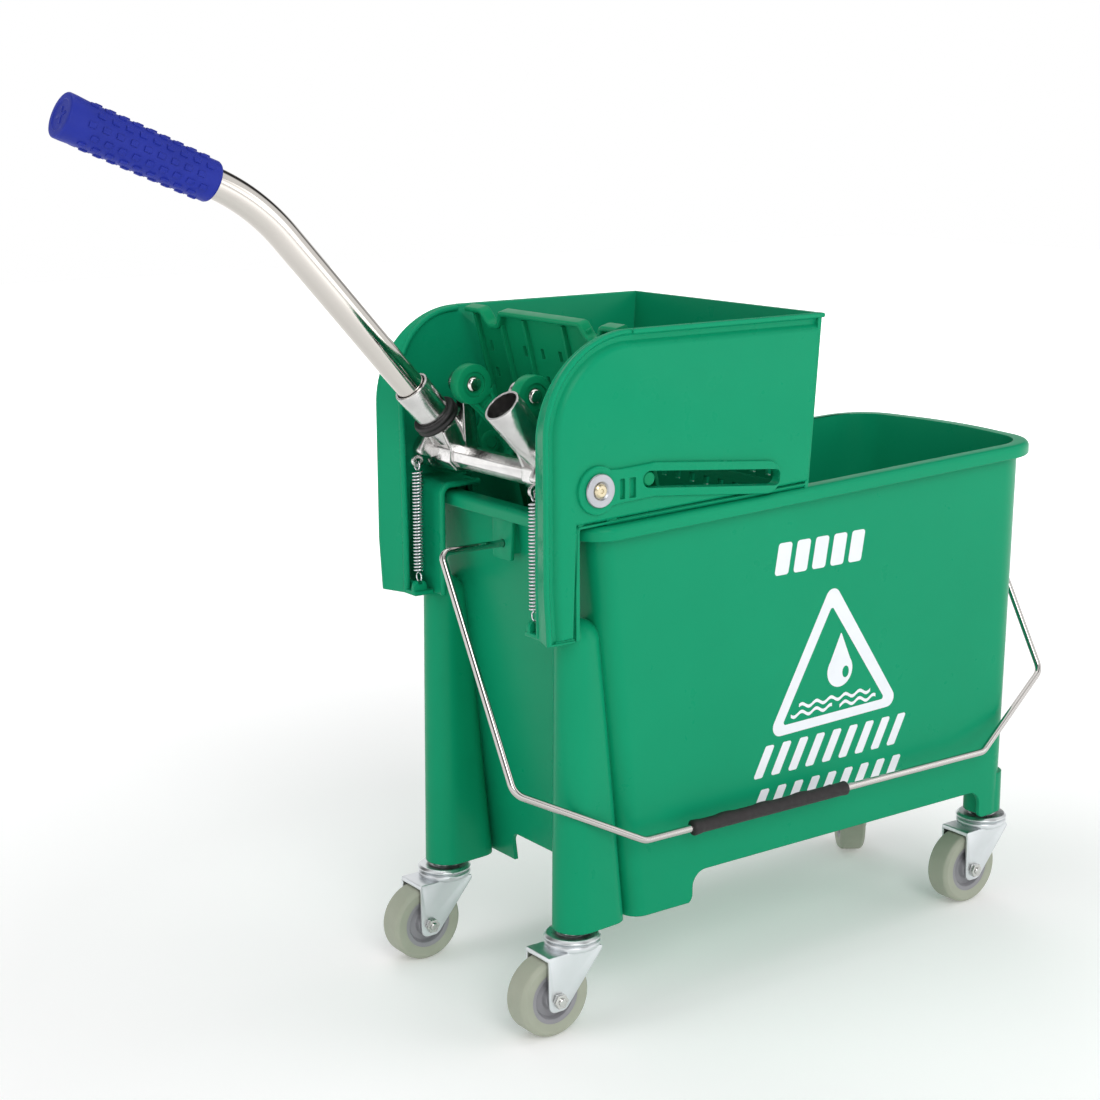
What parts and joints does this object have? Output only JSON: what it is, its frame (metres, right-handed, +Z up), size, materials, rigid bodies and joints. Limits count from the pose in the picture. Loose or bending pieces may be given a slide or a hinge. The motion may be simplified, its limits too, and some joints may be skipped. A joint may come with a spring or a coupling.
{
  "type": "mop and bucket with wringer",
  "caption": "Plastic mop bucket on swivel casters with a lever-operated press wringer and a wire carrying bail.",
  "frame": {"origin": "middle of the footprint, on the floor under the wheels", "axes": "+Z up, +X along the bucket from the wringer end to the nose, -Y the side the bail rests on"},
  "size_m": [0.7794, 0.2374, 0.6571],
  "materials": {
    "tub_green": "satin moulded polypropylene",
    "wringer_green": "satin moulded polypropylene",
    "press_green": "satin moulded polypropylene",
    "link_green": "satin moulded polypropylene",
    "socket_black": "matt",
    "bail_chrome": "polished",
    "bail_sleeve": "soft matt",
    "zinc_plate": "bright zinc plated",
    "zinc_fork": "bright zinc plated pressing",
    "zinc_bolt": "bright zinc plated",
    "zinc_washer": "bright zinc plated",
    "tread_grey": "matt grey soft tread",
    "core_grey": "satin",
    "bush_white": "satin",
    "spring_steel": "drawn wire",
    "cast_bright": "polished casting",
    "pin_steel": "polished",
    "bolt_brassy": "yellow passivated",
    "ring_rubber": "matt",
    "lever_chrome": "polished",
    "grip_blue": "matt studded",
    "guide_plastic": "satin"
  },
  "bodies": {
    "bucket": {"bucket_tub": "tub_green", "caster_sockets": "socket_black", "caster_stem_rear_near": "zinc_plate", "caster_stem_rear_far": "zinc_plate", "caster_stem_nose_near": "zinc_plate", "caster_stem_nose_far": "zinc_plate"},
    "bail": {"bail_wire": "bail_chrome", "bail_grip": "bail_sleeve"},
    "swivel_rear_near": {"caster_fork_rear_near": "zinc_fork", "caster_bush_rear_near": "zinc_plate", "caster_bolt_rear_near": "zinc_bolt", "caster_nut_rear_near": "zinc_bolt"},
    "wheel_rear_near": {"caster_tyre_rear_near": "tread_grey", "caster_core_rear_near": "core_grey"},
    "swivel_rear_far": {"caster_fork_rear_far": "zinc_fork", "caster_bush_rear_far": "zinc_plate", "caster_bolt_rear_far": "zinc_bolt", "caster_nut_rear_far": "zinc_bolt"},
    "wheel_rear_far": {"caster_tyre_rear_far": "tread_grey", "caster_core_rear_far": "core_grey"},
    "swivel_nose_near": {"caster_fork_nose_near": "zinc_fork", "caster_bush_nose_near": "zinc_plate", "caster_bolt_nose_near": "zinc_bolt", "caster_nut_nose_near": "zinc_bolt"},
    "wheel_nose_near": {"caster_tyre_nose_near": "tread_grey", "caster_core_nose_near": "core_grey"},
    "swivel_nose_far": {"caster_fork_nose_far": "zinc_fork", "caster_bush_nose_far": "zinc_plate", "caster_bolt_nose_far": "zinc_bolt", "caster_nut_nose_far": "zinc_bolt"},
    "wheel_nose_far": {"caster_tyre_nose_far": "tread_grey", "caster_core_nose_far": "core_grey"},
    "wringer": {"wringer_housing": "wringer_green", "pivot_bush_near": "bush_white", "pivot_bush_far": "bush_white", "return_spring_near": "spring_steel", "return_spring_far": "spring_steel"},
    "rocker": {"rocker_casting": "cast_bright", "crank_pin_near": "pin_steel", "crank_pin_far": "pin_steel", "pivot_bolt_near": "bolt_brassy", "pivot_bolt_far": "bolt_brassy", "pivot_washer_near": "zinc_washer", "pivot_washer_far": "zinc_washer", "retaining_ring": "ring_rubber", "lever_tube": "lever_chrome", "lever_grip": "grip_blue"},
    "plate": {"press_plate": "press_green", "guide_pins": "guide_plastic", "link_pins": "pin_steel"},
    "link_near": {"link_arm_near": "link_green"},
    "link_far": {"link_arm_far": "link_green"}
  },
  "joints": [
    {"name": "bail_swing", "type": "hinge", "parent": "bucket", "child": "bail", "pos_m": [0.12198, 0.00243, 0.34], "axis": [-1, 0, 0], "range_deg": [0, 150]},
    {"name": "swivel_rear_near_turn", "type": "hinge", "parent": "bucket", "child": "swivel_rear_near", "pos_m": [-0.09101, -0.08207, 0.065], "axis": [0, 0, 1], "continuous": true},
    {"name": "wheel_rear_near_spin", "type": "hinge", "parent": "swivel_rear_near", "child": "wheel_rear_near", "pos_m": [-0.11302, -0.08207, 0.0295], "axis": [0, 1, 0], "continuous": true},
    {"name": "swivel_rear_far_turn", "type": "hinge", "parent": "bucket", "child": "swivel_rear_far", "pos_m": [-0.09101, 0.08693, 0.065], "axis": [0, 0, 1], "continuous": true},
    {"name": "wheel_rear_far_spin", "type": "hinge", "parent": "swivel_rear_far", "child": "wheel_rear_far", "pos_m": [-0.11302, 0.08693, 0.0295], "axis": [0, 1, 0], "continuous": true},
    {"name": "swivel_nose_near_turn", "type": "hinge", "parent": "bucket", "child": "swivel_nose_near", "pos_m": [0.33298, -0.07758, 0.065], "axis": [0, 0, 1], "continuous": true},
    {"name": "wheel_nose_near_spin", "type": "hinge", "parent": "swivel_nose_near", "child": "wheel_nose_near", "pos_m": [0.31099, -0.07758, 0.0295], "axis": [0, 1, 0], "continuous": true},
    {"name": "swivel_nose_far_turn", "type": "hinge", "parent": "bucket", "child": "swivel_nose_far", "pos_m": [0.33298, 0.08242, 0.065], "axis": [0, 0, 1], "continuous": true},
    {"name": "wheel_nose_far_spin", "type": "hinge", "parent": "swivel_nose_far", "child": "wheel_nose_far", "pos_m": [0.32005, 0.06463, 0.0295], "axis": [-0.809, 0.5878, 0], "continuous": true},
    {"name": "wringer_lift", "type": "slide", "parent": "bucket", "child": "wringer", "axis": [0, 0, 1], "range_m": [0, 0.05]},
    {"name": "rocker_turn", "type": "hinge", "parent": "wringer", "child": "rocker", "pos_m": [-0.08801, 0.00243, 0.395], "axis": [0, 1, 0], "range_deg": [0, 65], "stiffness_Nm_per_rad": 1, "springref_deg": -22.92, "deforming": ["return_spring_near", "return_spring_far"]},
    {"name": "press_slide", "type": "slide", "parent": "wringer", "child": "plate", "axis": [0.9954, 0, -0.0958], "range_m": [0, 0.0723]},
    {"name": "link_near_turn", "type": "hinge", "parent": "rocker", "child": "link_near", "pos_m": [-0.09101, 0.00243, 0.451], "axis": [0, 1, 0], "range_deg": [-85.5, 0]},
    {"name": "link_far_turn", "type": "hinge", "parent": "rocker", "child": "link_far", "pos_m": [-0.09101, 0.00243, 0.451], "axis": [0, 1, 0], "range_deg": [-85.5, 0]}
  ],
  "couplings": [
    {"joint": "press_slide", "follows": "rocker_turn", "m_per_rad": 0.0637},
    {"joint": "link_near_turn", "follows": "rocker_turn", "ratio": -1.31},
    {"joint": "link_far_turn", "follows": "rocker_turn", "ratio": -1.31}
  ]
}
